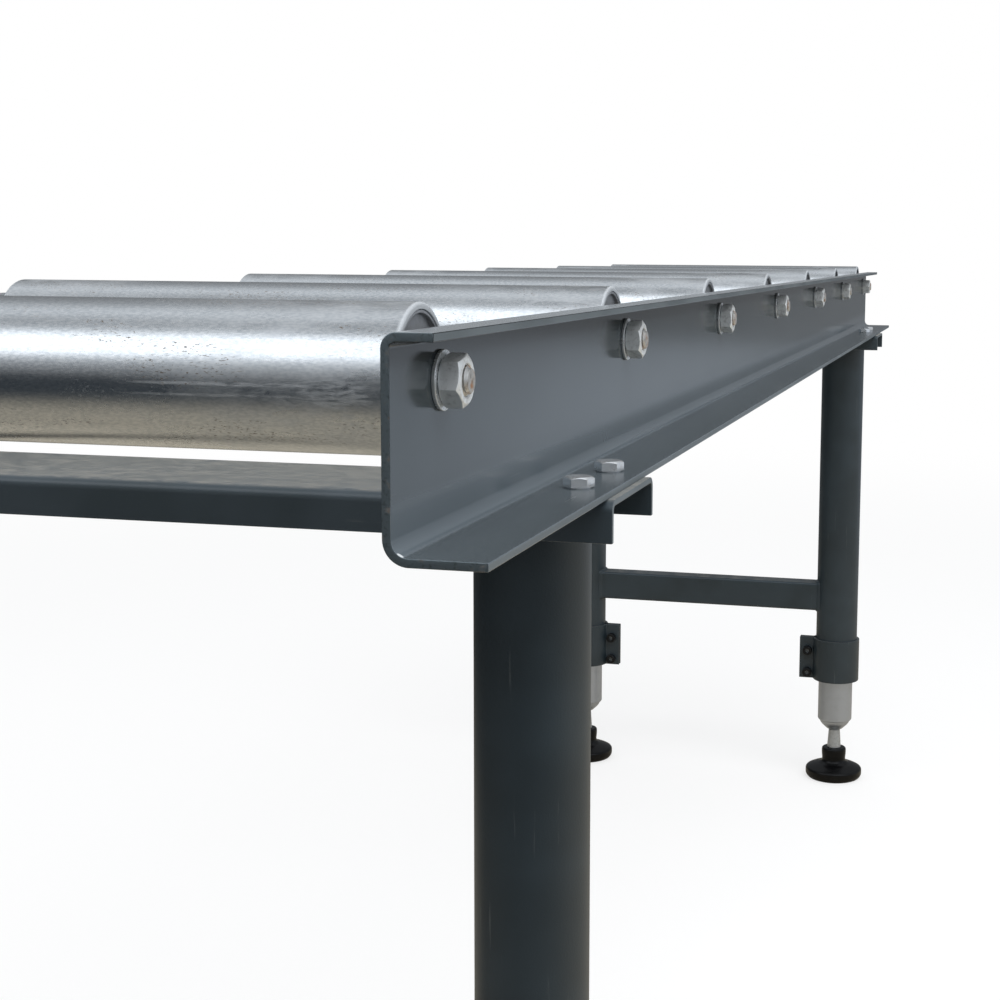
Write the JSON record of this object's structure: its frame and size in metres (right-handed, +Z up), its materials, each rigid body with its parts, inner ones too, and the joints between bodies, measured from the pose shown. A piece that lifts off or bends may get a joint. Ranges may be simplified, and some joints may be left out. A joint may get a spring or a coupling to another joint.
{
  "type": "roller table",
  "caption": "Free-standing roller table: folded steel side rails carry free-turning steel rollers over two trestles with telescopic legs and levelling feet.",
  "frame": {"origin": "on the floor, under the middle of the table", "axes": "+X along the table, away from its near end, +Y across it, along the rollers, and +Z up"},
  "size_m": [2, 0.473, 0.735],
  "materials": {
    "rail_paint": "semi-gloss blue-grey powder coat",
    "leg_paint": "fine-textured anthracite powder coat",
    "roller_zinc": "galvanised steel, drawn lengthwise",
    "cap_zinc": "pressed steel, dull zinc",
    "axle_steel": "bright drawn steel, slightly rusted at its ends",
    "nut_zinc": "dull grey zinc",
    "washer_zinc": "bright zinc",
    "bolt_zinc": "bright zinc",
    "bearing_steel": "ground steel",
    "tube_zinc": "satin zinc",
    "spindle_zinc": "satin zinc, threaded",
    "black_oxide": "blackened steel",
    "pad_plastic": "glossy black moulded plastic"
  },
  "bodies": {
    "frame": {"side_rail_right": "rail_paint", "side_rail_left": "rail_paint", "roller_axles": "axle_steel", "axle_washers": "washer_zinc", "axle_nuts": "nut_zinc", "bearing_inner_rings": "bearing_steel", "rail_bolts": "bolt_zinc", "rail_bolt_nuts": "bolt_zinc", "head_channel_front": "leg_paint", "head_channel_rear": "leg_paint", "cross_brace_front": "leg_paint", "cross_brace_rear": "leg_paint", "clamp_screws": "black_oxide", "clamp_nuts": "black_oxide", "leg_tube_front_right": "leg_paint", "leg_tube_front_left": "leg_paint", "leg_tube_rear_right": "leg_paint", "leg_tube_rear_left": "leg_paint", "clamp_collar_front_right": "leg_paint", "clamp_collar_front_left": "leg_paint", "clamp_collar_rear_right": "leg_paint", "clamp_collar_rear_left": "leg_paint"},
    "roller_1": {"roller_tube_1": "roller_zinc", "roller_end_caps_1": "cap_zinc", "bearing_outer_rings_1": "bearing_steel"},
    "roller_2": {"roller_tube_2": "roller_zinc", "roller_end_caps_2": "cap_zinc", "bearing_outer_rings_2": "bearing_steel"},
    "roller_3": {"roller_tube_3": "roller_zinc", "roller_end_caps_3": "cap_zinc", "bearing_outer_rings_3": "bearing_steel"},
    "roller_4": {"roller_tube_4": "roller_zinc", "roller_end_caps_4": "cap_zinc", "bearing_outer_rings_4": "bearing_steel"},
    "roller_5": {"roller_tube_5": "roller_zinc", "roller_end_caps_5": "cap_zinc", "bearing_outer_rings_5": "bearing_steel"},
    "roller_6": {"roller_tube_6": "roller_zinc", "roller_end_caps_6": "cap_zinc", "bearing_outer_rings_6": "bearing_steel"},
    "roller_7": {"roller_tube_7": "roller_zinc", "roller_end_caps_7": "cap_zinc", "bearing_outer_rings_7": "bearing_steel"},
    "inner_leg_front_right": {"inner_tube_front_right": "tube_zinc", "threaded_bush_front_right": "tube_zinc"},
    "foot_front_right": {"foot_pad_front_right": "pad_plastic"},
    "spindle_front_right": {"foot_spindle_front_right": "spindle_zinc"},
    "inner_leg_front_left": {"inner_tube_front_left": "tube_zinc", "threaded_bush_front_left": "tube_zinc"},
    "foot_front_left": {"foot_pad_front_left": "pad_plastic"},
    "spindle_front_left": {"foot_spindle_front_left": "spindle_zinc"},
    "inner_leg_rear_right": {"inner_tube_rear_right": "tube_zinc", "threaded_bush_rear_right": "tube_zinc"},
    "foot_rear_right": {"foot_pad_rear_right": "pad_plastic"},
    "spindle_rear_right": {"foot_spindle_rear_right": "spindle_zinc"},
    "inner_leg_rear_left": {"inner_tube_rear_left": "tube_zinc", "threaded_bush_rear_left": "tube_zinc"},
    "foot_rear_left": {"foot_pad_rear_left": "pad_plastic"},
    "spindle_rear_left": {"foot_spindle_rear_left": "spindle_zinc"}
  },
  "joints": [
    {"name": "roller_1_spin", "type": "hinge", "parent": "frame", "child": "roller_1", "pos_m": [-0.945, 0, 0.705], "axis": [0, 1, 0], "continuous": true},
    {"name": "roller_2_spin", "type": "hinge", "parent": "frame", "child": "roller_2", "pos_m": [-0.63, 0, 0.705], "axis": [0, 1, 0], "continuous": true},
    {"name": "roller_3_spin", "type": "hinge", "parent": "frame", "child": "roller_3", "pos_m": [-0.315, 0, 0.705], "axis": [0, 1, 0], "continuous": true},
    {"name": "roller_4_spin", "type": "hinge", "parent": "frame", "child": "roller_4", "pos_m": [0, 0, 0.705], "axis": [0, 1, 0], "continuous": true},
    {"name": "roller_5_spin", "type": "hinge", "parent": "frame", "child": "roller_5", "pos_m": [0.315, 0, 0.705], "axis": [0, 1, 0], "continuous": true},
    {"name": "roller_6_spin", "type": "hinge", "parent": "frame", "child": "roller_6", "pos_m": [0.63, 0, 0.705], "axis": [0, 1, 0], "continuous": true},
    {"name": "roller_7_spin", "type": "hinge", "parent": "frame", "child": "roller_7", "pos_m": [0.945, 0, 0.705], "axis": [0, 1, 0], "continuous": true},
    {"name": "leg_slide_front_right", "type": "slide", "parent": "frame", "child": "inner_leg_front_right", "axis": [0, 0, -1], "range_m": [-0.05, 0.22]},
    {"name": "foot_lift_front_right", "type": "slide", "parent": "inner_leg_front_right", "child": "foot_front_right", "axis": [0, 0, -1], "range_m": [-0.02, 0.04]},
    {"name": "spindle_turn_front_right", "type": "hinge", "parent": "foot_front_right", "child": "spindle_front_right", "pos_m": [-0.7815, -0.186, 0.022], "axis": [0, 0, -1], "range_deg": [-3618, 7218]},
    {"name": "leg_slide_front_left", "type": "slide", "parent": "frame", "child": "inner_leg_front_left", "axis": [0, 0, -1], "range_m": [-0.05, 0.22]},
    {"name": "foot_lift_front_left", "type": "slide", "parent": "inner_leg_front_left", "child": "foot_front_left", "axis": [0, 0, -1], "range_m": [-0.02, 0.04]},
    {"name": "spindle_turn_front_left", "type": "hinge", "parent": "foot_front_left", "child": "spindle_front_left", "pos_m": [-0.7815, 0.186, 0.022], "axis": [0, 0, -1], "range_deg": [-3618, 7218]},
    {"name": "leg_slide_rear_right", "type": "slide", "parent": "frame", "child": "inner_leg_rear_right", "axis": [0, 0, -1], "range_m": [-0.05, 0.22]},
    {"name": "foot_lift_rear_right", "type": "slide", "parent": "inner_leg_rear_right", "child": "foot_rear_right", "axis": [0, 0, -1], "range_m": [-0.02, 0.04]},
    {"name": "spindle_turn_rear_right", "type": "hinge", "parent": "foot_rear_right", "child": "spindle_rear_right", "pos_m": [0.7815, -0.186, 0.022], "axis": [0, 0, -1], "range_deg": [-3618, 7218]},
    {"name": "leg_slide_rear_left", "type": "slide", "parent": "frame", "child": "inner_leg_rear_left", "axis": [0, 0, -1], "range_m": [-0.05, 0.22]},
    {"name": "foot_lift_rear_left", "type": "slide", "parent": "inner_leg_rear_left", "child": "foot_rear_left", "axis": [0, 0, -1], "range_m": [-0.02, 0.04]},
    {"name": "spindle_turn_rear_left", "type": "hinge", "parent": "foot_rear_left", "child": "spindle_rear_left", "pos_m": [0.7815, 0.186, 0.022], "axis": [0, 0, -1], "range_deg": [-3618, 7218]}
  ],
  "couplings": [
    {"joint": "spindle_turn_front_right", "follows": "foot_lift_front_right", "rad_per_m": 3141.6},
    {"joint": "spindle_turn_front_left", "follows": "foot_lift_front_left", "rad_per_m": 3141.6},
    {"joint": "spindle_turn_rear_right", "follows": "foot_lift_rear_right", "rad_per_m": 3141.6},
    {"joint": "spindle_turn_rear_left", "follows": "foot_lift_rear_left", "rad_per_m": 3141.6}
  ]
}
